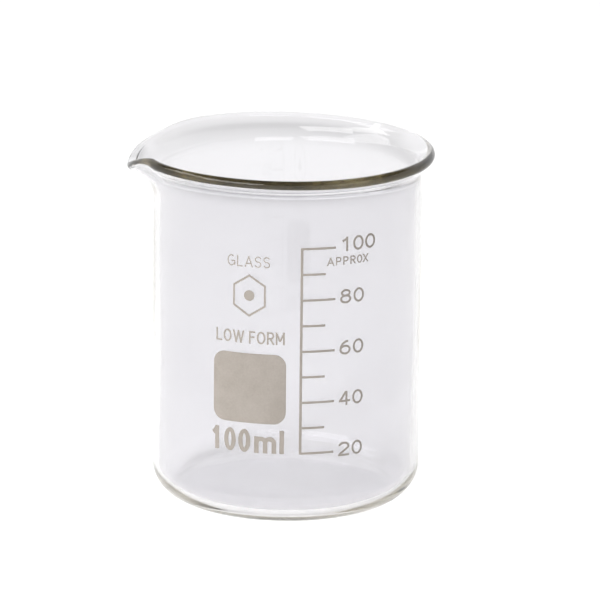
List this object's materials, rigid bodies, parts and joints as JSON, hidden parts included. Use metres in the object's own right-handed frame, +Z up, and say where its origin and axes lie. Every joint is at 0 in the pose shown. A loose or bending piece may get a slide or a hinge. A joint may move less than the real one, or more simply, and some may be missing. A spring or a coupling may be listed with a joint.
{
  "type": "beaker",
  "caption": "Low-form 100 ml laboratory beaker in clear borosilicate glass with a turned-out rim, a pouring spout and a printed volume scale.",
  "frame": {"origin": "centre of the flat underside of the base, on the axis of the wall", "axes": "+Z up along the axis of the wall, -Y out of the printed side, -X towards the pouring spout, which is 2 degrees off that axis"},
  "size_m": [0.0597, 0.0588, 0.0698],
  "materials": {
    "glass": "clear, fire-polished, smooth inside and out",
    "enamel": "fired-on warm grey enamel, satin, slightly grainy"
  },
  "bodies": {
    "root": {"glass_body": "glass", "scale_ladder": "enamel", "marking_patch": "enamel", "numeral_20_1_2": "enamel", "numeral_20_2_0": "enamel", "numeral_40_1_4": "enamel", "numeral_40_2_0": "enamel", "numeral_60_1_6": "enamel", "numeral_60_2_0": "enamel", "numeral_80_1_8": "enamel", "numeral_80_2_0": "enamel", "numeral_100_1_1": "enamel", "numeral_100_2_0": "enamel", "numeral_100_3_0": "enamel", "approx_1_A": "enamel", "approx_2_P": "enamel", "approx_3_P": "enamel", "approx_4_R": "enamel", "approx_5_O": "enamel", "approx_6_X": "enamel", "volume_1_1": "enamel", "volume_2_0": "enamel", "volume_3_0": "enamel", "volume_4_m": "enamel", "volume_5_l": "enamel", "form_1_L": "enamel", "form_2_O": "enamel", "form_3_W": "enamel", "form_4_F": "enamel", "form_5_O": "enamel", "form_6_R": "enamel", "form_7_M": "enamel", "material_1_G": "enamel", "material_2_L": "enamel", "material_3_A": "enamel", "material_4_S": "enamel", "material_5_S": "enamel", "emblem_hexagon": "enamel", "emblem_dot": "enamel"}
  },
  "joints": []
}
